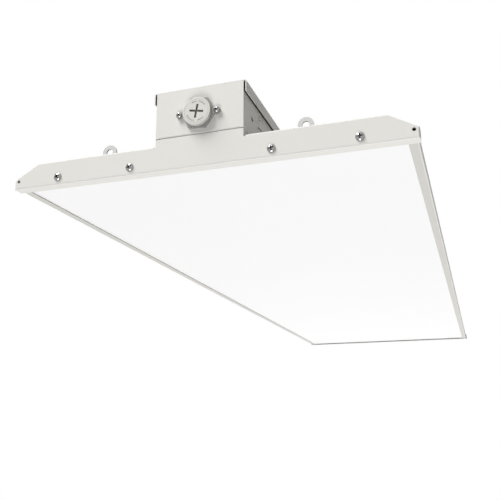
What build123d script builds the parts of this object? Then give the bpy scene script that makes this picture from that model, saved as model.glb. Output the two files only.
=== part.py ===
"""Linear high bay light: a folded steel housing with a flat frosted lens, two folded end plates,
a driver box along its back and a twist-lock sensor cap on the front of the box.

Millimetres, +Z up. The origin is on the floor plane under the middle of the fixture, X runs across
it and Y along it. The front end, with the sensor cap, faces -Y and the lens faces down.
"""

import math
import os

from build123d import *

# Sheet metal of the whole fixture
sheet = 0.9
bend = 0.5  # inside radius of every fold
fold = sheet + bend  # outside radius of every fold

# Outline of the end plates
fixture_length = 1220.0  # over the faces of both end plates
fixture_width = 381.0
edge_height = 9.9  # upright sides
flat_height = 24.1  # flat top edge on both sides of the tab
shoulder_run = 25.1  # how far each slanted shoulder comes in
flange_depth = 10.9  # bottom flange that closes the lens slot
return_depth = 10.0  # short flanges on the sides, shoulders and top
corner_slit = 1.2
tab_notch = (2.0, 1.5)
tab_gap = 0.5  # top of the tab to the driver box

# Housing pan
side_play = 0.85  # pan side wall to the end plate's side flange
shoulder_play = 0.3
lip_width = 8.65
pan_end_gap = 0.1  # pan's cut ends to the inside bend of the end plates
spine_half = 42.1  # half width of the raised spine, the tab and the driver box
spine_rise = 7.1  # spine top over the flat top edge of the end plates
flap_bottom_gap = 0.7  # end flap to the lens
flap_inset = 4.0  # end flap to the spine and to the shoulder
flap_run = 6.0  # flat part of an end flap before its fold
flap_relief = 1.5

# Lens
lens_thickness = 1.5
lens_play = 0.6  # to the pan's lower bends and to the end plates

# End plate screws and the open holes at the plate's far corners
end_screw_inner = 67.2
end_screw_outer = 142.8
end_screw_height = 7.6
guard_hole_inset = 4.4
guard_hole_height = 7.85
guard_hole_radius = 1.65

# Screw sizes: thread radius, length under the head, head radius, head height
sheet_screw = (2.0, 11.0, 3.9, 2.6)
short_screw = (2.0, 5.0, 3.9, 2.6)
board_screw = (1.4, 5.0, 2.7, 1.9)
socket_screw = (1.5, 7.0, 2.75, 1.9)
thread_play = 0.05
hole_play = 0.25

# Driver box
box_height = 45.9  # spine top to the top of the cover
tray_lip_width = 12.1
cover_drop = 10.9  # height of the cover's side flanges
cover_side_gap = 1.65  # cover flange to the tray's wall
cover_setback = 0.2  # cover edge behind the face of the front panel
cover_screw_inset = 6.1
cover_screw_setback = 50.0
foot_depth = 14.0  # bottom flange of the front and rear panels
foot_inset = 4.1
foot_relief = 0.3
foot_play = 0.5
foot_screw_setback = 8.0
floor_screw_half = 25.0
tray_screw_setback = 65.0

# Openings in the sides of the driver box
pilot_radius = 2.5
pilot_setback = 24.7
side_opening_height = 18.5  # over the spine
knockout_setback = 53.0
knockout_radii = (11.1, 14.1)
knockout_slit = 0.5
knockout_bridge = 3.0
pry_slot = (11.0, 2.0)

# Sensor socket, measured outwards from the front panel
sensor_height = 19.1  # centre of the socket over the spine
socket_base = 3.0
socket_margin = 1.5  # flats of the hexagonal base over the barrel
ear_overhang = 1.7  # ear centres beyond the corners of the base
ear_radius = 3.2
socket_turn = -5.0  # the base stands a little askew of the panel
barrel_radius = 12.6
barrel_wall = 1.4
barrel_play = 0.3
barrel_depth = 17.0
barrel_floor = 2.0
rim_thickness = 1.8
seal_seat_depth = 1.7

# Twist cap
cap_overhang = 0.65  # cap over the barrel
cap_thickness = 3.2
cap_gap = 0.3  # every running gap between the cap and the socket
cap_edge = 0.5
plug_wall = 2.0
lug_reach = 1.6
lug_thickness = 1.6
lug_half_angle = 18.0
lug_side_gap = 0.45
cap_twist = 60.0  # turn from closed to open
stop_width_angle = 8.0
coin_slot = (13.5, 2.0, 2.2)  # length, width, depth of each arm of the cross
coin_slot_turn = -10.5
groove_inset = 1.85
groove_width = 0.35
groove_depth = 0.25
seal_width = 1.6

# Contacts and nuts of the sensor socket
contact_ring = 6.0
contact_count = 3
contact_size = (3.4, 0.8)
contact_inside = 8.0
contact_tail = 4.0
nut_flats = 5.5
nut_height = 2.4

# Hanging eyelets
eyelet_offset = 95.1
eyelet_setback = 10.8
eyelet_thickness = 1.5
eyelet_bend = 1.0
eyelet_radius = 7.2
eyelet_hole = 3.2
eyelet_height = 7.1  # hole centre over the pan's top
eyelet_foot = 24.0
rivet_places = (9.0, 18.0)  # from the eyelet's upright
rivet_radius = 1.6
rivet_head = (3.0, 1.2)
rivet_tail = (2.3, 1.0)

# LED boards
board_width = 40.0
board_thickness = 1.6
board_spine_gap = 7.9
board_shoulder_gap = 12.0
board_end_gap = 2.0  # board to the eyelet's foot
board_gap = 20.0  # between the two boards of a row
board_corner = 2.0
board_screw_edge = 5.0
board_screw_inset = 12.0
led_pitch = 30.0
led_end_room = 20.0
led_size = (3.5, 3.5, 0.8)
connector_size = (7.0, 9.0, 4.0)
connector_inset = 3.0

# LED drivers
driver_length = 210.0
driver_width = 60.0
driver_height = 34.0
driver_edge = 2.0
driver_setback = 90.0  # end panel to the driver's nearer ear
driver_ear = (26.0, 15.0, 1.2)
driver_lid = 0.6
driver_lid_lap = 5.0
driver_wire_hole = 4.0

# Wiring parts on the tray floor
grommet_gap = 45.0  # grommet to the driver's farther ear
grommet_bore = 5.0
grommet_neck = 7.0
grommet_flange = 9.5
grommet_flange_thickness = 1.4
terminal_gap = 45.0  # front grommet to the middle of the block
terminal_poles = 3
terminal_pitch = 10.0
terminal_width = 20.0
terminal_height = 15.0
terminal_end = 9.0
terminal_foot_height = 5.0
terminal_well = (2.6, 6.0)
terminal_mouth = (2.0, 7.0)
ground_offset = 22.0
ground_gap = 40.0  # middle of the block to the ground screw

# Levels and planes that follow from the sizes above
half_length = fixture_length / 2
half_width = fixture_width / 2
inside_end = half_length - sheet
lip_level = sheet
lens_level = lip_level + sheet
lens_top = lens_level + lens_thickness
pan_top = flat_height - sheet
pan_ceiling = pan_top - sheet
pan_half = half_width - sheet - side_play
spine_top = flat_height + spine_rise
spine_ceiling = spine_top - sheet
box_top = spine_top + box_height
cover_underside = box_top - sheet
tray_floor = spine_top + sheet
sensor_level = spine_top + sensor_height
flap_bottom = lens_top + flap_bottom_gap
end_screw_offsets = (-end_screw_outer, -end_screw_inner, end_screw_inner, end_screw_outer)
foot_screw_line = half_length - foot_screw_setback
tray_screw_line = half_length - tray_screw_setback
cover_screw_line = half_length - cover_screw_setback
cover_screw_half = spine_half - cover_screw_inset

# Sensor socket and cap
socket_flats = 2 * (barrel_radius + socket_margin)
ear_offset = socket_flats / math.sqrt(3) + ear_overhang
chamber_radius = barrel_radius - barrel_wall
lug_radius = chamber_radius - cap_gap
plug_radius = lug_radius - lug_reach
rim_radius = plug_radius + cap_gap
rim_back = socket_base - seal_seat_depth - rim_thickness
seal_seat_radius = plug_radius + thread_play + seal_width + cap_gap
cap_radius = barrel_radius + cap_overhang
groove_radius = cap_radius - groove_inset

# Boards, drivers and wiring
board_setback = eyelet_setback + eyelet_foot + board_end_gap
board_length = half_length - board_setback - board_gap / 2
board_middle = (board_gap + board_length) / 2
led_count = int((board_length - 2 * led_end_room) // led_pitch) + 1
driver_reach = driver_length / 2 + driver_ear[1]
driver_centre = half_length - driver_setback - driver_reach
driver_screw_reach = driver_length / 2 + driver_ear[1] / 2
grommet_place = driver_centre - driver_reach - grommet_gap
terminal_place = terminal_gap - grommet_place
terminal_screw_place = terminal_place + (terminal_poles * terminal_pitch + terminal_end) / 2
ground_place = terminal_place + ground_gap


def shifted(points, distance):
    """An open chain of points moved to its left, with mitred corners."""
    chain = [Vector(*point) for point in points]
    runs = [(after - before).normalized() for before, after in zip(chain, chain[1:])]
    sides = [Vector(-run.Y, run.X) for run in runs]
    moved = [chain[0] + sides[0] * distance]
    for point, before, after in zip(chain[1:-1], sides, sides[1:]):
        moved.append(point + (before + after) * (distance / (1 + before.dot(after))))
    moved.append(chain[-1] + sides[-1] * distance)
    return [(point.X, point.Y) for point in moved]


def folded_section(points, thickness=sheet, inner_radius=bend):
    """Section of a folded sheet. The points are the sharp corners of its right-hand side."""
    outer_radii, inner_radii = [], []
    for before, corner, after in zip(points, points[1:], points[2:]):
        first = Vector(*corner) - Vector(*before)
        second = Vector(*after) - Vector(*corner)
        turns_left = first.cross(second).Z > 0
        outer_radii.append(inner_radius + thickness if turns_left else inner_radius)
        inner_radii.append(inner_radius if turns_left else inner_radius + thickness)
    corners = list(points) + shifted(points, thickness)[::-1]
    radii = [0, *outer_radii, 0, 0, *inner_radii[::-1], 0]
    return make_face(FilletPolyline(*corners, radius=radii, close=True))


def across(section, start, end):
    """Extrudes a section drawn in Y and Z from one X to another."""
    return extrude(Plane.YZ.offset(start) * section, end - start)


def along(section, start, end):
    """Extrudes a section drawn in X and Z from one Y to another."""
    return extrude(Plane.XZ.offset(-start) * section, start - end)


def block(low, high):
    """A box between two corners."""
    size = [b - a for a, b in zip(low, high)]
    return Pos(*low) * Box(*size, align=(Align.MIN, Align.MIN, Align.MIN))


def rod(radius, at, axis, reach):
    """A round cutter through a point, as long each way as reach."""
    return Plane(origin=at, z_dir=axis) * Cylinder(radius, 2 * reach)


def disc(radius, low, high):
    """A round disc about the Z axis between two levels."""
    return extrude(Plane.XY.offset(low) * Circle(radius), high - low)


def both_ends(shape):
    """A shape at the front and its mirror image at the rear."""
    return shape + mirror(shape, about=Plane.XZ)


def both_sides(shape):
    """A shape on the right and its mirror image on the left."""
    return shape + mirror(shape, about=Plane.YZ)


def seat(shape, at, outward):
    """Places a shape drawn on the XY plane so that its +Z points outward at a place."""
    side = (1, 0, 0) if abs(outward[0]) < 0.5 else (0, 1, 0)
    return Plane(origin=at, x_dir=side, z_dir=outward) * shape


def dome(radius, low, high):
    """Profile of a round crown that stands on a rim and is centred on the axis."""
    return TangentArc((0, high), (radius, low), tangent=(1, 0))


def screw(size, recess=True):
    """Pan head screw with its head above the XY plane and a cross recess."""
    thread, length, head, height = size
    rim = height * 0.3
    tip = thread * 0.6
    outline = Polyline((0, 0), (0, -length), (tip, -length), (thread, thread - length), (thread, 0))
    outline += Polyline((thread, 0), (head, 0), (head, rim)) + dome(head, rim, height)
    profile = make_face(outline + Line((0, height), (0, 0)))
    shape = revolve(Plane.XZ * profile, Axis.Z)
    if not recess:
        return shape
    arm, slot, depth = head * 1.1, head * 0.24, height * 0.6
    cross = Rectangle(arm, slot) + Rectangle(slot, arm)
    return shape - extrude(Plane.XY.offset(height - depth) * cross, depth + height)


def rivet():
    """Dome head above the XY plane, shank and upset tail for the eyelet foot on the pan."""
    grip = eyelet_thickness + sheet
    head, rise = rivet_head
    tail, drop = rivet_tail
    sides = Polyline((0, rise), (0, -grip - drop), (tail, -grip - drop), (tail, -grip), (rivet_radius, -grip))
    top = Polyline((rivet_radius, -grip), (rivet_radius, 0), (head, 0))
    return revolve(Plane.XZ * make_face(sides + top + dome(head, 0, rise)), Axis.Z)


def ring_sector(inner, outer, start, sweep):
    """Flat sector of a ring, from a start angle through a sweep in degrees."""
    outside = CenterArc((0, 0), outer, start, sweep)
    inside = CenterArc((0, 0), inner, start, sweep)
    return make_face(outside + inside + Line(outside @ 0, inside @ 0) + Line(outside @ 1, inside @ 1))


def pan_outline():
    """Outside corners of the pan's section, from the right lip over the spine to the left lip."""
    slope = Vector(-shoulder_run, flat_height - edge_height).normalized()
    outward = Vector(slope.Y, -slope.X)
    reach = outward.dot(Vector(half_width, edge_height)) - sheet - shoulder_play
    side_knee = (pan_half, (reach - outward.X * pan_half) / outward.Y)
    top_knee = ((reach - outward.Y * pan_top) / outward.X, pan_top)
    right = [
        (pan_half - lip_width, lip_level),
        (pan_half, lip_level),
        side_knee,
        top_knee,
        (spine_half, pan_top),
        (spine_half, spine_top),
    ]
    return right + [(-x, z) for x, z in reversed(right)]


def board_rows():
    """Centre lines of the four rows of boards, from left to right."""
    flat_edge = pan_outline()[3][0]
    inner = spine_half + board_spine_gap + board_width / 2
    outer = flat_edge - board_shoulder_gap - board_width / 2
    return {"left_outer": -outer, "left_inner": -inner, "right_inner": inner, "right_outer": outer}


def board_screw_points():
    """Where the board screws pass, over all eight boards."""
    reach = board_length / 2 - board_screw_inset
    stations = (board_middle - reach, board_middle, board_middle + reach)
    points = []
    for row in board_rows().values():
        lane = row + math.copysign(board_width / 2 - board_screw_edge, row)
        points += [(lane, end * station) for end in (-1, 1) for station in stations]
    return points


def eyelet_rivet_points():
    """Where the eyelet rivets pass through the pan, over all four eyelets."""
    lines = [half_length - eyelet_setback - place for place in rivet_places]
    return [(x, sign * line) for x in (-eyelet_offset, eyelet_offset) for sign in (-1, 1) for line in lines]


def foot_screw_points():
    """Where screws join the feet of the two end panels to the spine."""
    lines = (-foot_screw_line, foot_screw_line)
    return [(x, y) for x in (-floor_screw_half, floor_screw_half) for y in lines]


def tray_screw_points():
    """Where screws join the tray floor to the spine."""
    lines = (-tray_screw_line, 0, tray_screw_line)
    return [(x, y) for x in (-floor_screw_half, floor_screw_half) for y in lines]


def driver_screw_points():
    """Where screws pass through the drivers' ears."""
    centres = (-driver_centre, driver_centre)
    return [(0, y + side * driver_screw_reach) for y in centres for side in (-1, 1)]


def floor_thread_points():
    """Where a screw bites into the tray floor and the spine below it."""
    return [*driver_screw_points(), (0, terminal_screw_place), (ground_offset, ground_place)]


def cover_screw_points():
    """Where screws pass through the cover into the tray's lips."""
    lines = (-cover_screw_line, 0, cover_screw_line)
    return [(x, y) for x in (-cover_screw_half, cover_screw_half) for y in lines]


def upright_holes(points, radius, level):
    """Cutters for holes through one sheet that lies flat at a level."""
    return [rod(radius, (x, y, level), (0, 0, 1), 2 * sheet) for x, y in points]


def housing_pan():
    """One folded sheet: lips under the lens, side walls, shoulders, top, raised spine and end flaps."""
    corners = pan_outline()
    pan = along(folded_section(corners), -inside_end, inside_end)
    short_end = inside_end - bend - pan_end_gap
    trim = block((spine_half + tab_notch[0], -inside_end, 0), (half_width, -short_end, flat_height))
    inner, outer = spine_half + flap_inset, corners[3][0] - flap_inset
    fold_line = inside_end - flap_run
    gap_low = (inner - flap_relief, -inside_end, pan_ceiling)
    gap_high = (outer + flap_relief, -fold_line, flat_height)
    gap = block(gap_low, gap_high)
    pan -= both_ends(both_sides(trim + gap))
    flap_corners = [(-fold_line, pan_top), (-inside_end, pan_top), (-inside_end, flap_bottom)]
    flap = across(folded_section(flap_corners), inner, outer)
    pan += both_ends(both_sides(flap))
    end_places = [(x, y, end_screw_height) for x in end_screw_offsets for y in (-inside_end, inside_end)]
    thread = short_screw[0] + thread_play
    spine_points = foot_screw_points() + tray_screw_points() + floor_thread_points()
    grommets = [(0, -grommet_place), (0, grommet_place)]
    cutters = [rod(sheet_screw[0] + thread_play, place, (0, 1, 0), 2 * sheet) for place in end_places]
    cutters += upright_holes(spine_points, thread, spine_ceiling)
    cutters += upright_holes(grommets, grommet_neck + thread_play, spine_ceiling)
    cutters += upright_holes(board_screw_points(), board_screw[0] + thread_play, pan_ceiling)
    cutters += upright_holes(eyelet_rivet_points(), rivet_radius + thread_play, pan_ceiling)
    return pan - cutters


def plate_block(margin, depth, radius):
    """Solid of the end plate's outline, drawn in by a margin, with its front edge rounded."""
    corners = [
        (half_width, 0),
        (half_width, edge_height),
        (half_width - shoulder_run, flat_height),
        (shoulder_run - half_width, flat_height),
        (-half_width, edge_height),
        (-half_width, 0),
    ]
    outline = make_face(Polyline(*corners, close=True))
    if margin:
        outline = offset(outline, -margin, kind=Kind.INTERSECTION)
    solid = along(outline, margin - half_length, depth - half_length)
    return fillet(solid.faces().sort_by(Axis.Y)[0].edges(), radius)


def front_end_plate():
    """One folded sheet: face with a tab, a deep bottom flange and short flanges all round."""
    plate = plate_block(0, flange_depth, fold) - plate_block(sheet, flange_depth + sheet, bend)
    back = flange_depth - half_length
    short = return_depth - half_length
    cutters = [block((-half_width, short, 2 * sheet), (half_width, back, flat_height))]
    slope = math.degrees(math.atan2(shoulder_run, flat_height - edge_height))
    knees = [
        (half_width, lip_level + corner_slit / 2, 0),
        (half_width, edge_height, slope / 2),
        (half_width - shoulder_run, flat_height, 45 + slope / 2),
    ]
    slit_start = fold - half_length
    for x, z, turn in knees:
        slit = Box(8 * sheet, back - slit_start, corner_slit)
        cutters.append(both_sides(Pos(x, (back + slit_start) / 2, z) * Rot(0, -turn, 0) * slit))
    opening = spine_half + tab_notch[0]
    notch_level = flat_height - tab_notch[1]
    cutters.append(block((-opening, -inside_end, pan_top - bend), (opening, back, flat_height)))
    cutters.append(block((-opening, -half_length, notch_level), (opening, -inside_end, flat_height)))
    plate -= cutters
    tab_top = spine_top - tab_gap
    plate += block((-spine_half, -half_length, pan_top - fold), (spine_half, -inside_end, tab_top))
    screws = [(x, -inside_end, end_screw_height) for x in end_screw_offsets]
    corner = half_width - guard_hole_inset
    guards = [(x, -inside_end, guard_hole_height) for x in (-corner, corner)]
    plate -= [rod(sheet_screw[0] + hole_play, place, (0, 1, 0), 2 * sheet) for place in screws]
    return plate - [rod(guard_hole_radius, place, (0, 1, 0), 2 * sheet) for place in guards]


def lens():
    """Flat frosted sheet that lies on the pan's lips."""
    half = pan_half - fold - lens_play
    end = inside_end - lens_play
    return block((-half, -end, lens_level), (half, end, lens_top))


def knockout(bore_axis, at, slot_side):
    """Cutter of one concentric knockout: two slit rings with bridges, and a pry slot to one side."""
    rings = Sketch()
    for radius, turn in zip(knockout_radii, (45, 0)):
        bridges = Rot(0, 0, turn) * Rectangle(4 * radius, knockout_bridge)
        rings += Circle(radius + knockout_slit / 2) - Circle(radius - knockout_slit / 2) - bridges
    length, width = pry_slot
    rings += Pos(slot_side * (knockout_radii[0] - length / 2), 0) * Rectangle(length, width)
    frame = Plane(origin=at, x_dir=(0, 1, 0) if abs(bore_axis[0]) > 0.5 else (1, 0, 0), z_dir=bore_axis)
    return extrude(frame * rings, 2 * sheet, both=True)


def gear_tray():
    """Channel of the driver box, with inward lips for the cover and knockouts in its walls."""
    lip_edge = spine_half - tray_lip_width
    corners = [
        (-lip_edge, cover_underside),
        (-spine_half, cover_underside),
        (-spine_half, spine_top),
        (spine_half, spine_top),
        (spine_half, cover_underside),
        (lip_edge, cover_underside),
    ]
    tray = along(folded_section(corners), -inside_end, inside_end)
    floor_half = spine_half - fold
    foot_end = half_length - foot_depth - foot_play
    tray -= both_ends(block((-floor_half, -inside_end, spine_top), (floor_half, -foot_end, tray_floor)))
    thread = short_screw[0] + thread_play
    grommets = [(0, -grommet_place), (0, grommet_place)]
    cutters = upright_holes(tray_screw_points(), short_screw[0] + hole_play, tray_floor)
    cutters += upright_holes(cover_screw_points(), thread, cover_underside)
    cutters += upright_holes(floor_thread_points(), thread, tray_floor)
    cutters += upright_holes(grommets, grommet_neck + thread_play, tray_floor)
    level = spine_top + side_opening_height
    for wall in (-spine_half, spine_half):
        for end in (-1, 1):
            cutters.append(knockout((1, 0, 0), (wall, end * (half_length - knockout_setback), level), end))
            pilot = (wall, end * (half_length - pilot_setback), level)
            cutters.append(rod(pilot_radius, pilot, (1, 0, 0), 2 * sheet))
    return tray - cutters


def end_panel():
    """Front or rear wall of the driver box before its holes: a face with a folded foot."""
    foot_half = spine_half - foot_inset
    face = block((-spine_half, -half_length, spine_top), (spine_half, -inside_end, cover_underside))
    room = foot_half + foot_relief
    face -= block((-room, -half_length, spine_top), (room, -inside_end, spine_top + fold))
    corners = [
        (-half_length, spine_top + 2 * fold),
        (-half_length, spine_top),
        (foot_depth - half_length, spine_top),
    ]
    panel = face + across(folded_section(corners), -foot_half, foot_half)
    front_feet = [(x, y) for x, y in foot_screw_points() if y < 0]
    return panel - upright_holes(front_feet, short_screw[0] + hole_play, spine_top)


def front_panel():
    """Front wall of the driver box with the openings for the sensor socket."""
    cutters = [rod(barrel_radius + barrel_play, (0, -half_length, sensor_level), (0, 1, 0), 2 * sheet)]
    for x in (-ear_offset, ear_offset):
        place = (x, -half_length, sensor_level)
        cutters.append(rod(socket_screw[0] + hole_play, place, (0, 1, 0), 2 * sheet))
    return end_panel() - cutters


def rear_panel():
    """Rear wall of the driver box with a knockout for the supply."""
    panel = end_panel() - knockout((0, 1, 0), (0, -half_length, spine_top + side_opening_height), 1)
    return mirror(panel, about=Plane.XZ)


def top_cover():
    """Folded lid with two hanging side flanges."""
    half = spine_half + cover_side_gap + sheet
    low = box_top - cover_drop
    corners = [(half, low), (half, box_top), (-half, box_top), (-half, low)]
    end = half_length - cover_setback
    cover = along(folded_section(corners), -end, end)
    return cover - upright_holes(cover_screw_points(), short_screw[0] + hole_play, box_top)


def eyelet(x, end):
    """Folded hanging lug: a foot on the pan's top and an upright ring across the fixture."""
    upright = eyelet_setback - half_length
    centre = pan_top + eyelet_height
    top = centre + eyelet_radius
    corners = [(upright, top), (upright, pan_top), (upright + eyelet_foot, pan_top)]
    lug = across(folded_section(corners, eyelet_thickness, eyelet_bend), -eyelet_radius, eyelet_radius)
    lower = Pos(0, (pan_top + centre) / 2) * Rectangle(2 * eyelet_radius, eyelet_height)
    head = lower + Pos(0, centre) * Circle(eyelet_radius)
    lug &= along(head, upright, upright + eyelet_foot)
    lug -= rod(eyelet_hole, (0, upright, centre), (0, 1, 0), 2 * eyelet_thickness)
    for place in rivet_places:
        lug -= rod(rivet_radius + thread_play, (0, upright + place, pan_top), (0, 0, 1), 2 * eyelet_thickness)
    lug = Pos(x, 0, 0) * lug
    return lug if end < 0 else mirror(lug, about=Plane.XZ)


def led_board(row, end):
    """Metal-core board with its LED packages on the underside."""
    middle = end * board_middle
    under = pan_ceiling - board_thickness
    plate = extrude(RectangleRounded(board_width, board_length, board_corner), board_thickness)
    wide, deep, tall = led_size
    steps = [(step - (led_count - 1) / 2) * led_pitch for step in range(led_count)]
    board = Pos(row, middle, under) * plate
    board += [Pos(row, middle + step, under - tall / 2) * Box(wide, deep, tall) for step in steps]
    holes = [(x, y) for x, y in board_screw_points() if abs(x - row) < board_width / 2 and y * end > 0]
    return board - upright_holes(holes, board_screw[0] + hole_play, pan_ceiling)


def board_connectors():
    """A push-in wire connector on each board, at the end by the middle of the fixture."""
    wide, deep, tall = connector_size
    level = pan_ceiling - board_thickness - tall / 2
    shapes = []
    for row in board_rows().values():
        lane = row - math.copysign(board_width / 2 - connector_inset - wide / 2, row)
        for end in (-1, 1):
            place = end * (board_gap / 2 + connector_inset + deep / 2)
            mouth = place - end * deep / 2
            lanes = (lane - wide / 4, lane + wide / 4)
            mouths = [rod(wide / 8, (x, mouth, level), (0, 1, 0), deep / 2) for x in lanes]
            shapes.append(Pos(lane, place, level) * Box(wide, deep, tall) - mouths)
    return shapes


def driver(end):
    """Closed driver case with a lapped lid, wire holes and a fixing ear at each end."""
    ear_width, ear_length, ear_thickness = driver_ear
    floor = (Align.CENTER, Align.CENTER, Align.MIN)
    case = Box(driver_width, driver_length, driver_height, align=floor)
    case = fillet(case.edges().filter_by(Axis.Y).sort_by(Axis.Z)[-2:], driver_edge)
    lid_room = block(
        (-driver_width / 2, -driver_length / 2, 0),
        (driver_width / 2, driver_length / 2, driver_height - driver_lid_lap),
    )
    lid_core = block(
        (driver_lid - driver_width / 2, -driver_length / 2, 0),
        (driver_width / 2 - driver_lid, driver_length / 2, driver_height - driver_lid_lap),
    )
    case -= lid_room - lid_core
    case += Box(ear_width, driver_length + 2 * ear_length, ear_thickness, align=floor)
    for side in (-1, 1):
        hole = short_screw[0] + hole_play
        case -= rod(hole, (0, side * (driver_length + ear_length) / 2, 0), (0, 0, 1), 2 * ear_thickness)
        mouth = (driver_width / 4, side * driver_length / 2, driver_height / 2)
        case -= rod(driver_wire_hole, mouth, (0, 1, 0), driver_wire_hole)
    return Pos(0, end * driver_centre, tray_floor) * case


def terminal_block():
    """Moulded block with a screw well and a wire mouth for each pole, and a low foot with a screw."""
    floor = (Align.CENTER, Align.CENTER, Align.MIN)
    body_length = terminal_poles * terminal_pitch
    body = Box(terminal_width, body_length, terminal_height, align=floor)
    foot = Pos(0, (body_length + terminal_end) / 2, 0)
    body += foot * Box(terminal_width, terminal_end, terminal_foot_height, align=floor)
    foot_centre = (0, (body_length + terminal_end) / 2, 0)
    body -= rod(short_screw[0] + hole_play, foot_centre, (0, 0, 1), 2 * terminal_foot_height)
    well_radius, well_depth = terminal_well
    mouth_radius, mouth_depth = terminal_mouth
    for pole in range(terminal_poles):
        y = (pole - (terminal_poles - 1) / 2) * terminal_pitch
        body -= rod(well_radius, (0, y, terminal_height), (0, 0, 1), well_depth)
        for side in (-1, 1):
            place = (side * terminal_width / 2, y, terminal_height / 2 - mouth_radius)
            body -= rod(mouth_radius, place, (1, 0, 0), mouth_depth)
    return Pos(0, terminal_place, tray_floor) * body


def grommet(place):
    """Rubber grommet that lines the hole through the tray floor and the spine."""
    grip = 2 * sheet
    profile = Polyline(
        (grommet_bore, -grip - grommet_flange_thickness),
        (grommet_flange, -grip - grommet_flange_thickness),
        (grommet_flange, -grip),
        (grommet_neck, -grip),
        (grommet_neck, 0),
        (grommet_flange, 0),
        (grommet_flange, grommet_flange_thickness),
        (grommet_bore, grommet_flange_thickness),
        close=True,
    )
    return Pos(0, place, tray_floor) * revolve(Plane.XZ * make_face(profile), Axis.Z)


def on_front_panel(shape):
    """Places a shape drawn outwards from the XY plane at the socket's centre on the front panel."""
    return seat(shape, (0, -half_length, sensor_level), (0, -1, 0))


def turned_pair(shape, angle):
    """Two copies of a flat shape, turned by an angle and by half a turn more."""
    return Rot(0, 0, angle) * shape + Rot(0, 0, angle + 180) * shape


def sensor_socket():
    """Moulded socket: hexagonal base with two ears, a rim with two lug gaps, and a contact barrel."""
    base = RegularPolygon(socket_flats / 2, 6, major_radius=False, rotation=socket_turn)
    for x in (-ear_offset, ear_offset):
        base += Pos(x, 0) * Circle(ear_radius)
    socket = extrude(base, socket_base) + disc(barrel_radius, -barrel_depth, 0)
    cavity_end = barrel_floor - barrel_depth
    seat_level = socket_base - seal_seat_depth
    slack = math.degrees(lug_side_gap / plug_radius)
    gap_half = lug_half_angle + slack
    gap = turned_pair(ring_sector(rim_radius - cap_gap, chamber_radius, -gap_half, 2 * gap_half), cap_twist)
    socket -= [
        disc(seal_seat_radius, seat_level, socket_base),
        disc(rim_radius, cavity_end, socket_base),
        disc(chamber_radius, cavity_end, rim_back),
        extrude(Plane.XY.offset(rim_back) * gap, rim_thickness),
    ]
    stop_depth = lug_thickness + cap_gap
    for start in (-gap_half - stop_width_angle, cap_twist + gap_half):
        stop = turned_pair(ring_sector(rim_radius, chamber_radius + cap_gap, start, stop_width_angle), 0)
        socket += extrude(Plane.XY.offset(rim_back - stop_depth) * stop, stop_depth)
    for x in (-ear_offset, ear_offset):
        socket -= rod(socket_screw[0] + hole_play, (x, 0, 0), (0, 0, 1), 2 * socket_base)
    for location in PolarLocations(contact_ring, contact_count, start_angle=90):
        slot = Rot(0, 0, 90) * Rectangle(contact_size[0] + 2 * thread_play, contact_size[1] + 2 * thread_play)
        socket -= extrude(Plane.XY.offset(-barrel_depth) * (location * slot), barrel_floor)
    return on_front_panel(socket)


def sensor_contacts():
    """Brass blades that pass through the floor of the socket's barrel."""
    blade = Rot(0, 0, 90) * Rectangle(*contact_size)
    reach = contact_inside + barrel_floor + contact_tail
    start = Plane.XY.offset(-barrel_depth - contact_tail)
    places = PolarLocations(contact_ring, contact_count, start_angle=90)
    return [on_front_panel(extrude(start * (location * blade), reach)) for location in places]


def sensor_cap():
    """Twist cap: a disc with a cross for a coin, a hollow plug and two locking lugs."""
    underside = socket_base + cap_gap
    face = underside + cap_thickness
    plug_end = rim_back - cap_gap - lug_thickness
    cap = disc(cap_radius, underside, face)
    cap = fillet(cap.edges().sort_by(Axis.Z)[-1], cap_edge)
    cap += disc(plug_radius, plug_end, underside) - disc(plug_radius - plug_wall, plug_end, underside)
    lug = ring_sector(plug_radius - plug_wall / 2, lug_radius, -lug_half_angle, 2 * lug_half_angle)
    cap += extrude(Plane.XY.offset(plug_end) * turned_pair(lug, 0), lug_thickness)
    length, width, depth = coin_slot
    cross = Rot(0, 0, coin_slot_turn) * (Rectangle(length, width) + Rectangle(width, length))
    cap -= extrude(Plane.XY.offset(face - depth) * cross, depth)
    groove = Circle(groove_radius + groove_width / 2) - Circle(groove_radius - groove_width / 2)
    cap -= extrude(Plane.XY.offset(face - groove_depth) * groove, groove_depth)
    return on_front_panel(cap)


def cap_seal():
    """Square-section ring on the cap's plug, in the socket's seal seat."""
    inner = plug_radius + thread_play
    top = socket_base + cap_gap - thread_play
    low = socket_base - seal_seat_depth + cap_gap
    return on_front_panel(disc(inner + seal_width, low, top) - disc(inner, low, top))


def socket_nuts():
    """Nuts behind the front panel on the two socket screws."""
    blank = RegularPolygon(nut_flats / 2, 6, major_radius=False) - Circle(socket_screw[0] + thread_play)
    nut = extrude(Plane.XY.offset(-sheet) * blank, -nut_height)
    return [on_front_panel(Pos(x, 0, 0) * nut) for x in (-ear_offset, ear_offset)]


def at_level(points, level):
    """Points in space from points on a level sheet."""
    return [(x, y, level) for x, y in points]


def placed(shape, places, outward):
    """Copies of a fastener at several places, all facing one way."""
    return [seat(shape, place, outward) for place in places]


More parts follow.
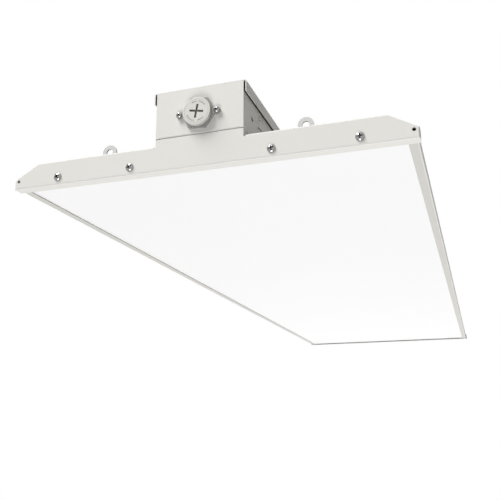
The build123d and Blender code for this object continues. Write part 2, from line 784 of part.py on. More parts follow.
def fixture():
    """Every piece of the fixture by name, each a solid or a list of like solids."""
    pieces = {
        "housing_pan": housing_pan(),
        "lens": lens(),
        "front_end_plate": front_end_plate(),
        "gear_tray": gear_tray(),
        "front_panel": front_panel(),
        "rear_panel": rear_panel(),
        "top_cover": top_cover(),
        "terminal_block": terminal_block(),
        "board_connectors": board_connectors(),
        "front_driver": driver(-1),
        "rear_driver": driver(1),
        "wire_grommets": [grommet(-grommet_place), grommet(grommet_place)],
        "sensor_socket": sensor_socket(),
        "sensor_contacts": sensor_contacts(),
        "sensor_cap": sensor_cap(),
        "cap_seal": cap_seal(),
        "socket_nuts": socket_nuts(),
    }
    pieces["rear_end_plate"] = mirror(pieces["front_end_plate"], about=Plane.XZ)
    for row_name, row in board_rows().items():
        for end_name, end in (("front", -1), ("rear", 1)):
            pieces[f"led_board_{row_name}_{end_name}"] = led_board(row, end)
    for side_name, x in (("left", -eyelet_offset), ("right", eyelet_offset)):
        for end_name, end in (("front", -1), ("rear", 1)):
            pieces[f"{end_name}_{side_name}_eyelet"] = eyelet(x, end)
    pieces.update(fasteners())
    return pieces


def fasteners():
    """Screws and rivets, one group for each kind and place."""
    up, down, to_front, to_rear = (0, 0, 1), (0, 0, -1), (0, -1, 0), (0, 1, 0)
    short = screw(short_screw)
    long = screw(sheet_screw)
    ear_top = tray_floor + driver_ear[2]
    foot_top = tray_floor + terminal_foot_height
    rivet_level = pan_top + eyelet_thickness
    board_places = at_level(board_screw_points(), pan_ceiling - board_thickness)
    fronts = [(x, -half_length, end_screw_height) for x in end_screw_offsets]
    rears = [(x, half_length, end_screw_height) for x in end_screw_offsets]
    ears = [(x, -half_length - socket_base, sensor_level) for x in (-ear_offset, ear_offset)]
    return {
        "front_end_screws": placed(long, fronts, to_front),
        "rear_end_screws": placed(long, rears, to_rear),
        "panel_foot_screws": placed(short, at_level(foot_screw_points(), tray_floor), up),
        "tray_screws": placed(short, at_level(tray_screw_points(), tray_floor), up),
        "cover_screws": placed(short, at_level(cover_screw_points(), box_top), up),
        "driver_screws": placed(short, at_level(driver_screw_points(), ear_top), up),
        "ground_screw": seat(short, (ground_offset, ground_place, tray_floor), up),
        "terminal_block_screw": seat(long, (0, terminal_screw_place, foot_top), up),
        "board_screws": placed(screw(board_screw, recess=False), board_places, down),
        "eyelet_rivets": placed(rivet(), at_level(eyelet_rivet_points(), rivet_level), up),
        "socket_screws": placed(screw(socket_screw), ears, to_front),
    }


def main():
    os.makedirs("parts", exist_ok=True)
    for name, shape in fixture().items():
        shapes = shape if isinstance(shape, list) else [shape]
        solids = [solid for item in shapes for solid in item.solids()]
        export_step(Compound(children=solids), f"parts/{name}.step")
        print(name, len(solids))


main()
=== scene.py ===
import math

import bpy
import numpy as np
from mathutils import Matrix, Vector


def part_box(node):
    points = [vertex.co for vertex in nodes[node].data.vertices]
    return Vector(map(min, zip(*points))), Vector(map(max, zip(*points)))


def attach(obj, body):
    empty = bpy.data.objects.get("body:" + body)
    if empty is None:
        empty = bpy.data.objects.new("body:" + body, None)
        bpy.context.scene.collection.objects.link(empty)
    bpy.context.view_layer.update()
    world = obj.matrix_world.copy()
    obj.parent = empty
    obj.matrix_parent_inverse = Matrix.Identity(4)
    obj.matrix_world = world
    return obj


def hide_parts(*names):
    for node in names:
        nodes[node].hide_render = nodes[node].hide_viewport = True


# Linear high bay light, seen from below its front end. Lengths are metres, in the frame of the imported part:
# X across, Y along, Z up, with the housing's underside at z = 0.
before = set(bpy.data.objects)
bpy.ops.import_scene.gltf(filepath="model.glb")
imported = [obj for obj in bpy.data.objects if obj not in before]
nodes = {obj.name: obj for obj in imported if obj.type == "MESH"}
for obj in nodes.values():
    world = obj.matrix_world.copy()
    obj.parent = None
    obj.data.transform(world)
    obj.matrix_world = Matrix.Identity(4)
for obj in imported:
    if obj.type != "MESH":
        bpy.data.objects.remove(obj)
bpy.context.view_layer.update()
print("part loaded,", len(nodes), "nodes")


class Wire:  # one output socket; arithmetic on wires adds Math nodes
    def __init__(self, graph, socket):
        self.graph = graph
        self.socket = socket

    def join(self, operation, *values):
        return self.graph.node("ShaderNodeMath", {"operation": operation}, values)

    def __add__(self, other):
        return self.join("ADD", self, other)

    __radd__ = __add__

    def __sub__(self, other):
        return self.join("SUBTRACT", self, other)

    def __rsub__(self, other):
        return self.join("SUBTRACT", other, self)

    def __mul__(self, other):
        return self.join("MULTIPLY", self, other)

    __rmul__ = __mul__

    def __truediv__(self, other):
        return self.join("DIVIDE", self, other)

    def __rtruediv__(self, other):
        return self.join("DIVIDE", other, self)

    def __gt__(self, other):
        return self.join("GREATER_THAN", self, other)

    def __lt__(self, other):
        return self.join("LESS_THAN", self, other)

    def __abs__(self):
        return self.join("ABSOLUTE", self)


class Graph:  # the node tree of a material or of the world
    def __init__(self, owner):
        owner.use_nodes = True
        self.tree = owner.node_tree
        self.tree.nodes.clear()

    # settings are set first, then the sockets get numbers, colours or wires, by name or by place
    def node(self, kind, settings=None, sockets=None, output=0):
        made = self.tree.nodes.new(kind)
        for key, value in (settings or {}).items():
            setattr(made, key, value)
        pairs = sockets.items() if isinstance(sockets, dict) else enumerate(sockets or [])
        for key, value in pairs:
            if isinstance(value, Wire):
                self.tree.links.new(value.socket, made.inputs[key])
            else:
                made.inputs[key].default_value = value
        return Wire(self, made.outputs[output]) if len(made.outputs) else None

    def place(self, stretch=(1.0, 1.0, 1.0)):  # object coordinates, scaled per axis
        coordinates = self.node("ShaderNodeTexCoord", output="Object")
        return self.node("ShaderNodeMapping", None, {"Vector": coordinates, "Scale": stretch})

    def coordinate(self, axis):  # one object coordinate: X, Y or Z
        return self.node("ShaderNodeSeparateXYZ", None, [self.place()], axis)

    def within(self, axis, low, high):  # 1 where the size of one object coordinate lies between two values
        size = abs(self.coordinate(axis))
        return (size > low) * (size < high)

    def inside(self, limits):  # 1 where every axis that the limits name is between its two values
        mask = 1.0
        for axis in "XYZ":
            if axis in limits:
                mask = mask * self.within(axis, *limits[axis])
        return mask

    def attribute(self, name):  # a value stored on the piece's own points
        return self.node("ShaderNodeAttribute", {"attribute_name": name}, output="Fac")

    def noise(self, cellsPerMetre, detail=2.0, roughness=0.5, stretch=(1.0, 1.0, 1.0)):
        return self.node("ShaderNodeTexNoise", None, {
            "Vector": self.place(stretch), "Scale": cellsPerMetre, "Detail": detail, "Roughness": roughness,
        })

    def blend(self, factor, first, second):  # mix of two colours, which the node keeps at sockets 6 and 7
        return self.node("ShaderNodeMix", {"data_type": "RGBA"}, {0: factor, 6: first, 7: second}, 2)

    def bump(self, height, distance):
        return self.node("ShaderNodeBump", None, {"Height": height, "Distance": distance})

    def backdropRays(self):  # 1 for rays that show the surroundings: straight, mirrored or through glass
        kinds = ("Is Camera Ray", "Is Glossy Ray", "Is Transmission Ray")
        return sum(self.node("ShaderNodeLightPath", output=kind) for kind in kinds)

    def finish(self, shader, kind="ShaderNodeOutputMaterial"):
        self.node(kind, None, {"Surface": shader})


def rgb(red, green, blue):
    return (red, green, blue, 1.0)


def newMaterial(name):
    material = bpy.data.materials.new(name)
    return material, Graph(material)


# Mask of an outside bend of radius r that runs along X, strongest halfway round: sin(2t) = 2 cos(t) sin(t),
# with t the angle round the bend, cos(t) = 1 - (face - |y|) / r and sin(t) = 1 - z / r
def foldMask(graph, fold):
    cosine = 1 - (fold["face"] - abs(graph.coordinate("Y"))) / fold["radius"]
    sine = 1 - graph.coordinate("Z") / fold["radius"]
    return (cosine > 0.0) * (sine > 0.0) * 2.0 * cosine * sine


# Powder coat on sheet steel: a soft orange peel over a finer grain, and a faint drift of the tone
def powderCoat(name, look):
    material, graph = newMaterial(name)
    drift = graph.noise(look["driftPerMetre"], detail=3.0)
    peel = graph.noise(look["peelPerMetre"])
    grain = graph.noise(look["grainPerMetre"])
    colour = graph.blend(drift, look["dark"], look["light"])
    # zones of painted shade and painted light, as a look lists them
    for zone in look.get("zones", []):
        colour = graph.blend(graph.inside(zone), colour, zone["tone"])
    if "fold" in look:  # painted highlight: the coat is painted paler over an outside bend, to lift the shade there
        colour = graph.blend(foldMask(graph, look["fold"]), colour, look["fold"]["tone"])
    shader = graph.node("ShaderNodeBsdfPrincipled", None, {
        "Base Color": colour,
        "Roughness": look["roughness"] + look["roughnessSpread"] * grain,
        "IOR": 1.5,
        "Specular IOR Level": look["gloss"],
        "Normal": graph.bump(peel + look["grainShare"] * grain, look["peelHeight"]),
    })
    graph.finish(shader)
    return material


sheet = 0.0009  # thickness of the steel
lipWidth = 0.00865  # of the pan's lips, under the lens
wallReach = 0.0013  # a side wall and most of its bend lie in this outermost width
cutHeight = 0.0012  # the cut edges beside the lens lie below this level
edgeMargin = 0.0001  # how far a zone reaches past an edge
faceMargin = 0.00005  # and past a face
farAway = 1.0  # past the light on every axis

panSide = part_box("housing_pan")[1][0]
coverLow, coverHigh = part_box("top_cover")
lipEdge = panSide - lipWidth + edgeMargin
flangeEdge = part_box("rear_end_plate")[0][1] + edgeMargin
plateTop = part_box("front_end_plate")[1][2] - edgeMargin
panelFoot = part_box("front_panel")[0][2] + edgeMargin

coatLook = {
    "dark": rgb(0.788, 0.775, 0.733),
    "light": rgb(0.816, 0.803, 0.761),
    "driftPerMetre": 9.0,
    "peelPerMetre": 950.0,
    "grainPerMetre": 4200.0,
    "grainShare": 0.35,
    "peelHeight": 0.00003,
    "roughness": 0.42,
    "roughnessSpread": 0.08,
    "gloss": 0.3,
}
# the pan's coat is the plates' white painted darker, as painted shade on its rails
panShadedCoatLook = dict(
    coatLook,
    dark=rgb(0.630, 0.615, 0.578),
    light=rgb(0.655, 0.640, 0.602),
    zones=[  # painted shade on the lips' bare cut edges, for the gap under the lens, and painted light on the side walls
        {"X": (0.0, lipEdge), "Z": (0.0, cutHeight), "tone": rgb(0.09, 0.088, 0.084)},
        {"X": (panSide - wallReach, farAway), "tone": rgb(0.88, 0.862, 0.822)},
    ],
)
plateCoatLook = dict(
    coatLook,
    zones=[  # painted shade on the flanges' bare cut edges beside the lens, and in the seam between a plate's tab and its panel
        {"Y": (0.0, flangeEdge), "Z": (0.0, cutHeight), "tone": rgb(0.3, 0.294, 0.28)},
        {"Z": (plateTop, panelFoot), "tone": rgb(0.2, 0.196, 0.186)},
    ],
    # painted highlight along the outside bends of the plates
    fold={"face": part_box("rear_end_plate")[1][1], "radius": 0.0015, "tone": rgb(0.93, 0.92, 0.88)},
)
underCoverShade = rgb(0.24, 0.237, 0.228)  # painted shade where the cover hides the steel, seen through the gaps under its flanges
# painted shade on the tray's walls above the cover's lower edge
trayCoatLook = dict(coatLook, zones=[{"Z": (coverLow[2], farAway), "tone": underCoverShade}])
# painted shade on the cover's inner faces
coverCoatLook = dict(coatLook, zones=[{
    "X": (0.0, coverHigh[0] - sheet + faceMargin),
    "Z": (0.0, coverHigh[2] - sheet + faceMargin),
    "tone": underCoverShade,
}])


# Diffuser sheet: milk white, with the fine frosting of a calendered face, and painted shade where the lips
# hide it
def frostedSheet(name, look):
    material, graph = newMaterial(name)
    frost = graph.noise(look["frostPerMetre"])
    cloud = graph.noise(look["cloudPerMetre"])
    milk = graph.blend(cloud, look["dark"], look["light"])
    shader = graph.node("ShaderNodeBsdfPrincipled", None, {
        "Base Color": graph.blend(graph.inside(look["open"]), look["coveredShade"], milk),
        "Roughness": look["roughness"] + look["roughnessSpread"] * frost,
        "IOR": 1.49,
        "Normal": graph.bump(frost, look["frostHeight"]),
    })
    graph.finish(shader)
    return material


lensLook = {
    "dark": rgb(0.97, 0.97, 0.97),
    "light": rgb(0.985, 0.985, 0.985),
    "open": {"X": (0.0, lipEdge), "Y": (0.0, flangeEdge)},
    "coveredShade": rgb(0.16, 0.158, 0.152),
    "frostPerMetre": 2600.0,
    "cloudPerMetre": 6.0,
    "frostHeight": 0.000012,
    "roughness": 0.3,
    "roughnessSpread": 0.06,
}


# Moulded plastic: an even tone with a spark eroded grain, and painted shade in a recess
def mouldedPlastic(name, look):
    material, graph = newMaterial(name)
    grain = graph.noise(look["grainPerMetre"], detail=3.0, roughness=0.6)
    flow = graph.noise(look["flowPerMetre"])
    colour = graph.blend(flow, look["dark"], look["light"])
    if "recess" in look:
        colour = graph.blend(graph.inside(look["recess"]), colour, look["recess"]["tone"])
    shader = graph.node("ShaderNodeBsdfPrincipled", None, {
        "Base Color": colour,
        "Roughness": look["roughness"] + look["roughnessSpread"] * grain,
        "IOR": 1.5,
        "Normal": graph.bump(grain, look["grainHeight"]),
    })
    graph.finish(shader)
    return material


def plasticLook(red, green, blue, roughness, spread=0.03):
    return {
        "dark": rgb(red * (1 - spread), green * (1 - spread), blue * (1 - spread)),
        "light": rgb(red * (1 + spread), green * (1 + spread), blue * (1 + spread)),
        "grainPerMetre": 3400.0,
        "flowPerMetre": 60.0,
        "grainHeight": 0.00002,
        "roughness": roughness,
        "roughnessSpread": 0.1,
    }


# Plated or bare metal: mirror-like base with a crystal mottle, or with brush lines along one axis
def platedMetal(name, look):
    material, graph = newMaterial(name)
    mottle = graph.noise(look["mottlePerMetre"], detail=3.0, roughness=0.6, stretch=look["stretch"])
    fine = graph.noise(look["finePerMetre"], stretch=look["stretch"])
    colour = graph.blend(mottle, look["dark"], look["light"])
    if "recessTone" in look:  # painted shade: a screw's cross gets darker with its depth
        colour = graph.blend(graph.attribute("recess"), colour, look["recessTone"])
    shader = graph.node("ShaderNodeBsdfPrincipled", None, {
        "Base Color": colour,
        "Metallic": 1.0,
        "Roughness": look["roughness"] + look["roughnessSpread"] * mottle,
        "Normal": graph.bump(fine, look["fineHeight"]),
    })
    graph.finish(shader)
    return material


def metalLook(red, green, blue, roughness, roughnessSpread, darkShare=0.88, **changes):
    look = {
        "dark": rgb(red * darkShare, green * darkShare, blue * darkShare),
        "light": rgb(red, green, blue),
        "mottlePerMetre": 700.0,
        "finePerMetre": 3500.0,
        "stretch": (1.0, 1.0, 1.0),
        "fineHeight": 0.000008,
        "roughness": roughness,
        "roughnessSpread": roughnessSpread,
    }
    return dict(look, **changes)


chromeLook = metalLook(0.345, 0.345, 0.34, 0.18, 0.08, recessTone=rgb(0.055, 0.055, 0.055))
zincLook = metalLook(
    0.39, 0.39, 0.38, 0.46, 0.16,
    mottlePerMetre=1500.0, finePerMetre=7500.0, fineHeight=0.00001,
)
caseLook = metalLook(
    0.72, 0.73, 0.74, 0.34, 0.12,
    mottlePerMetre=900.0, finePerMetre=4500.0, fineHeight=0.000015, stretch=(1.0, 0.04, 1.0),
)

capLow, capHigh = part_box("sensor_cap")
capCentre = np.array([(capLow[0] + capHigh[0]) / 2, capLow[1], (capLow[2] + capHigh[2]) / 2])
coinSlotShade = {"reach": 0.0072, "top": 0.0003, "bottom": 0.0065, "tone": rgb(0.26, 0.26, 0.245)}  # painted shade in the cap's cross slot
capLook = dict(plasticLook(0.695, 0.685, 0.64, 0.42), recess={
    "X": (0.0, coinSlotShade["reach"]),
    "Y": (-capCentre[1] - coinSlotShade["bottom"], -capCentre[1] - coinSlotShade["top"]),
    "Z": (capCentre[2] - coinSlotShade["reach"], capCentre[2] + coinSlotShade["reach"]),
    "tone": coinSlotShade["tone"],
})

finishes = {
    "plateCoat": powderCoat("plate_powder_coat", plateCoatLook),
    "panShadedCoat": powderCoat("pan_powder_coat_painted_shade", panShadedCoatLook),
    "trayCoat": powderCoat("tray_powder_coat", trayCoatLook),
    "coverCoat": powderCoat("cover_powder_coat", coverCoatLook),
    "frosted": frostedSheet("frosted_diffuser", lensLook),
    "capPlastic": mouldedPlastic("cap_plastic", capLook),
    "socketPlastic": mouldedPlastic("socket_plastic", plasticLook(0.33, 0.33, 0.32, 0.45)),
    # raised marks and the index mark painted dark, as the shade of moulded strokes
    "markShade": mouldedPlastic("mark_painted_shade", plasticLook(0.24, 0.24, 0.228, 0.5)),
    "connectorPlastic": mouldedPlastic("connector_plastic", plasticLook(0.78, 0.78, 0.75, 0.4)),
    "terminalPlastic": mouldedPlastic("terminal_plastic", plasticLook(0.045, 0.045, 0.047, 0.45)),
    "rubber": mouldedPlastic("black_rubber", plasticLook(0.028, 0.028, 0.03, 0.68)),
    "driverCase": platedMetal("driver_case", caseLook),
    "chrome": platedMetal("bright_plate", chromeLook),
    "zinc": platedMetal("zinc_plate", zincLook),
    "brass": platedMetal("contact_brass", metalLook(0.76, 0.58, 0.27, 0.22, 0.1)),
    "greenDye": platedMetal("green_dyed_zinc", metalLook(0.09, 0.42, 0.16, 0.3, 0.12)),
    "solderMask": mouldedPlastic("white_solder_mask", plasticLook(0.84, 0.84, 0.81, 0.3)),
}

nodeFinishes = {
    "plateCoat": ["front_end_plate", "rear_end_plate", "front_panel", "rear_panel"],
    "panShadedCoat": ["housing_pan"],
    "trayCoat": ["gear_tray"],
    "coverCoat": ["top_cover"],
    "frosted": ["lens"],
    "capPlastic": ["sensor_cap"],
    "socketPlastic": ["sensor_socket"],
    "connectorPlastic": ["board_connectors"],
    "terminalPlastic": ["terminal_block"],
    "rubber": ["wire_grommets", "cap_seal"],
    "driverCase": ["front_driver", "rear_driver"],
    "brass": ["sensor_contacts"],
    "greenDye": ["ground_screw"],
    "chrome": ["front_end_screws", "rear_end_screws", "cover_screws", "socket_screws"],
    "zinc": [
        "panel_foot_screws", "tray_screws", "driver_screws", "terminal_block_screw", "board_screws",
        "eyelet_rivets", "socket_nuts",
    ] + [end + side + "_eyelet" for end in ("front_", "rear_") for side in ("left", "right")],
    "solderMask": [name for name in nodes if name.startswith("led_board")],
}
for finish, names in nodeFinishes.items():
    for name in names:
        slots = nodes[name].data.materials
        slots.clear()
        slots.append(finishes[finish])
print("finishes on the part's own pieces:", len(finishes))


# Faces of a closed skin, all outwards: a pole, rings of so many columns round the axis, and a second pole
def skinFaces(pointCount, columns, first):
    rings = (pointCount - 2) // columns
    row, column = np.meshgrid(np.arange(rings - 1), np.arange(columns), indexing="ij")
    beside = (column + 1) % columns
    near = first + 1 + row * columns
    far = near + columns
    quads = np.stack([far + column, far + beside, near + beside, near + column], axis=-1).reshape(-1, 4)
    spin = np.arange(columns)
    after = (spin + 1) % columns
    last = first + 1 + (rings - 1) * columns
    head = np.stack([np.full(columns, first), first + 1 + spin, first + 1 + after], axis=-1)
    tail = np.stack([np.full(columns, last + columns), last + after, last + spin], axis=-1)
    return head.tolist() + quads.tolist() + tail.tolist()


def addPiece(name, skins, columns, finish, body, sharpDegrees):  # closed skins, as one piece
    faces = []
    for index, skin in enumerate(skins):
        faces += skinFaces(len(skin), columns, index * len(skin))
    mesh = bpy.data.meshes.new(name)
    mesh.from_pydata(np.concatenate(skins).tolist(), [], faces)
    mesh.shade_smooth()
    mesh.set_sharp_from_angle(angle=math.radians(sharpDegrees))
    mesh.materials.append(finishes[finish])
    piece = bpy.data.objects.new(name, mesh)
    bpy.context.scene.collection.objects.link(piece)
    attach(piece, body)
    print(name, "with", len(skins), "skins and", len(faces), "faces")
    return piece


# Screws. The skin is r(t), h(t) turned round the axis: the crown h = top - R + sqrt(R^2 - r^2) less a cross
# recess, a round rim, a flat underside, a shank whose radius rises by a triangle wave of h / pitch - turn,
# and a point. The recess is as deep as the lesser of its floor, which rises along the wings, and its walls.
def screwSkin(look, headRadius, length, turn):
    columns = look["columns"]
    angle = np.arange(columns) * 2 * math.pi / columns
    top = look["headHeight"]
    rim = look["rim"] * top
    crownEdge = headRadius - look["rimInset"] * rim
    rise = top - rim
    crownRadius = (crownEdge ** 2 + rise ** 2) / (2 * rise)
    crown = np.linspace(0, 1, look["crownRows"] + 1)[1:] * crownEdge
    crownLevel = top - crownRadius + np.sqrt(crownRadius ** 2 - crown ** 2)
    bend = np.linspace(0, math.pi / 2, look["rimRows"] + 1)[1:]
    side = crownEdge + (headRadius - crownEdge) * np.sin(bend)
    sideLevel = rim * (1 - look["rimFall"] * (1 - np.cos(bend)))
    core = look["core"] * look["shank"]
    shank = np.full(look["shankRows"], core)
    shankLevel = -np.linspace(0, 1, look["shankRows"]) * (length - look["point"])
    radius = np.concatenate([crown, side, [headRadius], shank, [look["tip"] * core]])
    level = np.concatenate([crownLevel, sideLevel, [0.0], shankLevel, [-length]])
    radius = np.repeat(radius[:, None], columns, axis=1)
    level = np.repeat(level[:, None], columns, axis=1)

    x = abs(radius * np.cos(angle))
    y = abs(radius * np.sin(angle))
    along = np.maximum(x, y)  # down the nearer wing of the cross
    aside = np.minimum(x, y)
    reach = look["wingReach"] * headRadius
    half = look["wingHalf"] * headRadius * (1 - look["wingTaper"] * along / reach)
    depth = look["recess"] * top
    wingEnd = (reach - along) / (look["endSlope"] * reach)
    floor = depth * np.minimum(1 - look["floorRise"] * along / reach, wingEnd)
    wall = depth * (half - aside) / (look["wallSlope"] * half)
    onCrown = (np.arange(len(radius)) < look["crownRows"])[:, None]
    sunk = onCrown * np.clip(np.minimum(floor, wall), 0, None)
    level = level - sunk

    onShank = (level < -look["runOut"]) & (level > look["point"] - length)
    wave = np.abs((level / look["pitch"] - angle / (2 * math.pi)) % 1.0 - 0.5) * 2
    radius = radius + onShank * (look["shank"] - core) * (1 - wave)

    turned = angle + math.radians(turn)
    skin = np.stack([radius * np.cos(turned), radius * np.sin(turned), level], axis=-1).reshape(-1, 3)
    poles = np.array([[0, 0, top - depth], [0, 0, -length - look["tipLength"]]])
    shade = np.clip(sunk / (look["shadeDepth"] * depth), 0, 1).ravel()  # how deep in the recess, for the painted shade
    return np.concatenate([poles[:1], skin, poles[1:]]), np.concatenate([[1.0], shade, [0.0]])


def separate(points, gap):  # groups of points with a clear gap between them along some axis
    groups = [points]
    for axis in range(3):
        parts = []
        for group in groups:
            ordered = group[np.argsort(group[:, axis])]
            parts += np.split(ordered, np.flatnonzero(np.diff(ordered[:, axis]) > gap) + 1)
        groups = parts
    return groups


def nodePoints(name):
    mesh = nodes[name].data
    points = np.empty(len(mesh.vertices) * 3)
    mesh.vertices.foreach_get("co", points)
    return points.reshape(-1, 3)


# Lengths are metres. The rim and the recess are shares of the head's height, the wings of its radius, and
# the core of the shank's radius.
screwLook = {
    "columns": 144, "crownRows": 46, "rimRows": 5, "shankRows": 44, "sharpDegrees": 35.0,
    "headHeight": 0.0026, "rim": 0.42, "rimInset": 0.35, "rimFall": 0.55,
    "shank": 0.0020, "core": 0.76, "pitch": 0.0014, "runOut": 0.0006,
    "point": 0.0012, "tip": 0.35, "tipLength": 0.0002,
    "wingReach": 0.62, "wingHalf": 0.18, "wingTaper": 0.2, "wallSlope": 0.2,
    "recess": 0.78, "floorRise": 0.4, "endSlope": 0.14, "shadeDepth": 0.45, "spacing": 0.02,
}
screwSets = {
    "front_end": {"out": (0.0, -1.0, 0.0), "turns": (28, 24, 12, 4)},
    "rear_end": {"out": (0.0, 1.0, 0.0), "turns": (51, 17, 66, 33)},
    "cover": {"out": (0.0, 0.0, 1.0), "turns": (12, 48, 75, 30, 61, 5)},
    "socket": {
        "out": (0.0, -1.0, 0.0), "turns": (40, 18), "columns": 120, "crownRows": 36,
        "headHeight": 0.0019, "shank": 0.0015, "pitch": 0.0005,
    },
}
acrossAxis = np.array([1.0, 0.0, 0.0])
for name, screwSet in screwSets.items():
    look = dict(screwLook, **screwSet)
    out = np.array(look["out"])
    axes = np.stack([acrossAxis, np.cross(out, acrossAxis), out])
    skins, shades = [], []
    for solid, turn in zip(separate(nodePoints(name + "_screws"), look["spacing"]), look["turns"]):
        local = solid @ axes.T
        low, high = local.min(axis=0), local.max(axis=0)
        seat = (low + high) / 2
        seat[2] = high[2] - look["headHeight"]
        length = seat[2] - low[2] - look["tipLength"]
        skin, shade = screwSkin(look, (high[0] - low[0]) / 2, length, turn)
        skins.append((skin + seat) @ axes)
        shades.append(shade)
    piece = addPiece(
        name + "_cross_screws", skins, look["columns"], "chrome", "housing", look["sharpDegrees"])
    recess = piece.data.attributes.new("recess", "FLOAT", "POINT")
    recess.data.foreach_set("value", np.concatenate(shades).astype(np.float32))
    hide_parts(name + "_screws")


sectionCorners = 6  # of a raised stroke


# Raised strokes on a face that looks along -Y: the line from one polar place to another about a centre,
# with the width as a function of the way along it, and a section that rises from the face by a chamfer
def strokeSkin(start, end, width, look, centre):
    way = np.linspace(0, 1, look["stations"])
    angle = np.radians(start[1] + (end[1] - start[1]) * way)
    radius = start[0] + (end[0] - start[0]) * way
    line = np.stack([radius * np.cos(angle), radius * np.sin(angle)], axis=-1)
    ahead = np.gradient(line, axis=0)
    ahead /= np.linalg.norm(ahead, axis=1, keepdims=True)
    across = np.stack([-ahead[:, 1], ahead[:, 0]], axis=-1)
    half = width(way)[:, None] / 2
    chamfer = np.minimum(look["chamfer"], half * look["chamferShare"])
    offsets = np.concatenate([-half, chamfer - half, half - chamfer, half, half, -half], axis=1)
    top = look["height"]
    foot = -look["sunk"]
    levels = np.broadcast_to([top / 2, top, top, top / 2, foot, foot], offsets.shape)
    rings = line[:, None, :] + offsets[:, :, None] * across[:, None, :]
    skin = np.stack([rings[:, :, 0], -levels, rings[:, :, 1]], axis=-1)
    poles = skin[[0, -1]].mean(axis=1)
    return np.concatenate([poles[:1], skin.reshape(-1, 3), poles[1:]]) + centre


def tickWidth(look):  # even along the way, and rounded at both ends
    return lambda way: look["tickWidth"] * np.sqrt(
        np.clip(1 - (2 * way - 1) ** look["squareness"], look["endShare"], 1))


def arrowWidth(look):  # a straight shaft, then a head that tapers to its point
    neck = look["neck"]
    return lambda way: np.where(
        way < neck, look["shaft"], look["head"] * np.maximum((1 - way) / (1 - neck), look["tipShare"]))


# Angles are degrees from +X, and an arrow runs from the first to the second
markLook = {
    "height": 0.00016, "sunk": 0.00003, "chamfer": 0.00006, "chamferShare": 0.6,
    "stations": 41, "sharpDegrees": 25.0,
    "ring": 0.0093, "shaft": 0.00040, "head": 0.00125, "neck": 0.62, "tipShare": 0.06,
    "tickIn": 0.0086, "tickOut": 0.0100, "tickWidth": 0.00042, "squareness": 12, "endShare": 0.02,
    "arrows": ((90, 120), (-45, -84)),
    "ticks": (34, 41, 48, 55, 62, 69, 76, 200, 209, 218, 227, 236, 245, 254),
}
strokes = []
for first, last in markLook["arrows"]:
    ends = (markLook["ring"], first), (markLook["ring"], last)
    strokes.append(strokeSkin(*ends, arrowWidth(markLook), markLook, capCentre))
for degrees in markLook["ticks"]:
    ends = (markLook["tickIn"], degrees), (markLook["tickOut"], degrees)
    strokes.append(strokeSkin(*ends, tickWidth(markLook), markLook, capCentre))
addPiece(
    "cap_marks", strokes, sectionCorners, "markShade", "sensor_cap", markLook["sharpDegrees"])

# Index mark under the cap, on the face of the socket's base, where the socket's screws are seated
indexLook = dict(markLook, height=0.00025, tickIn=0.01385, tickOut=0.01465, tickWidth=0.0012, degrees=-101)
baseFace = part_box("socket_screws")[0][1] + screwSets["socket"]["headHeight"]
baseCentre = np.array([capCentre[0], baseFace, capCentre[2]])
ends = (indexLook["tickIn"], indexLook["degrees"]), (indexLook["tickOut"], indexLook["degrees"])
stroke = strokeSkin(*ends, tickWidth(indexLook), indexLook, baseCentre)
addPiece(
    "index_mark", [stroke], sectionCorners, "markShade", "housing", indexLook["sharpDegrees"])

# Floor, far enough below for the light to hang over it. It shows a share of the light's shadow within the
# first distance of its fade, and is plain white past the second.
stageLook = {
    "floorLevel": -3.0,
    "floorSize": 80.0,
    "floorColour": rgb(0.25, 0.25, 0.25),
    "floorFade": (4.0, 9.0),
    "shadowShare": 0.25,
    "worldLevel": 0.11,
}
white = rgb(1.0, 1.0, 1.0)


def makeFloor(look):
    half = look["floorSize"] / 2
    corners = (-half, -half), (half, -half), (half, half), (-half, half)
    mesh = bpy.data.meshes.new("floor")
    mesh.from_pydata([(x, y, look["floorLevel"]) for x, y in corners], [], [(0, 1, 2, 3)])
    floor = bpy.data.objects.new("floor", mesh)
    bpy.context.scene.collection.objects.link(floor)
    material, graph = newMaterial("pale_floor")
    plain = graph.node("ShaderNodeBsdfDiffuse", None, {"Color": look["floorColour"]})
    bright = graph.node("ShaderNodeEmission", None, {"Color": white, "Strength": 1.0})
    distance = graph.node("ShaderNodeVectorMath", {"operation": "LENGTH"}, [graph.place()], "Value")
    near, far = look["floorFade"]
    fade = graph.node("ShaderNodeMapRange", {"interpolation_type": "SMOOTHSTEP"}, {
        "Value": distance, "From Min": near, "From Max": far,
        "To Min": 1 - look["shadowShare"], "To Max": 1.0,
    })
    graph.finish(graph.node("ShaderNodeMixShader", None, [fade * graph.backdropRays(), plain, bright]))
    mesh.materials.append(material)


def makeWorld(look):
    world = bpy.data.worlds.new("studio")
    bpy.context.scene.world = world
    graph = Graph(world)
    level = look["worldLevel"]
    strength = level + (1 - level) * graph.backdropRays()
    shader = graph.node("ShaderNodeBackground", None, {"Color": white, "Strength": strength})
    graph.finish(shader, "ShaderNodeOutputWorld")


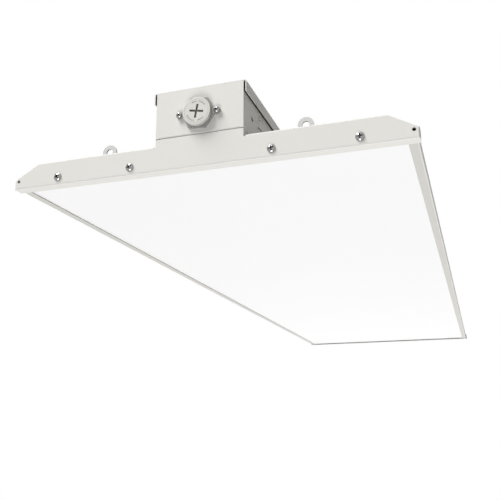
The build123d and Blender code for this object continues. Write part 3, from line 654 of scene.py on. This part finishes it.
# A broad sun from above the front left, and two disks just above the floor, one before the front end and
# one behind the rear end. The disks face straight up, so that none of their light grazes the floor.
lamps = {
    "key": {
        "kind": "SUN", "place": (-2.0, -2.15, 4.2), "aim": (0.0, -0.2, 0.02), "size": 38.0, "power": 3.7,
    },
    "underFront": {
        "kind": "AREA", "place": (0.0, -3.0, -2.9), "aim": (0.0, -3.0, 0.0), "size": 2.0, "power": 82.0,
    },
    "underRear": {
        "kind": "AREA", "place": (0.0, 1.5, -2.9), "aim": (0.0, 1.5, 0.0), "size": 1.2, "power": 62.0,
    },
}


def makeLamp(name, kind, place, aim, size, power):  # size is a disk's metres, or a sun's angle in degrees
    light = bpy.data.lights.new(name, kind)
    light.energy = power
    if kind == "SUN":
        light.angle = math.radians(size)
    else:
        light.shape = "DISK"
        light.size = size
    lamp = bpy.data.objects.new(name, light)
    lamp.location = place
    lamp.rotation_euler = (Vector(aim) - Vector(place)).to_track_quat("-Z", "Y").to_euler()
    lamp.visible_camera = False
    bpy.context.scene.collection.objects.link(lamp)


makeFloor(stageLook)
makeWorld(stageLook)
for name, lamp in lamps.items():
    makeLamp(name, **lamp)
print("stage and lamps ready:", len(lamps), "lamps")

# Camera below the front end, looking up along the light. It turns left from +Y and pitches up, in degrees.
cameraPose = {
    "place": (0.2228, -1.1332, -0.2299),
    "turn": 18.461,
    "pitch": 15.183,
    "focalPixels": 692.84,
    "imagePixels": 500,
    "sensorWidth": 36.0,
    "clipStart": 0.01,
}


def makeCamera(pose):
    camera = bpy.data.cameras.new("camera")
    camera.sensor_width = pose["sensorWidth"]
    camera.lens = pose["focalPixels"] * pose["sensorWidth"] / pose["imagePixels"]
    camera.clip_start = pose["clipStart"]
    eye = bpy.data.objects.new("camera", camera)
    eye.location = pose["place"]
    eye.rotation_euler = (math.radians(90 + pose["pitch"]), 0.0, math.radians(pose["turn"]))
    bpy.context.scene.collection.objects.link(eye)
    bpy.context.scene.camera = eye


makeCamera(cameraPose)
bpy.context.scene.view_settings.view_transform = "Standard"
print("camera ready")
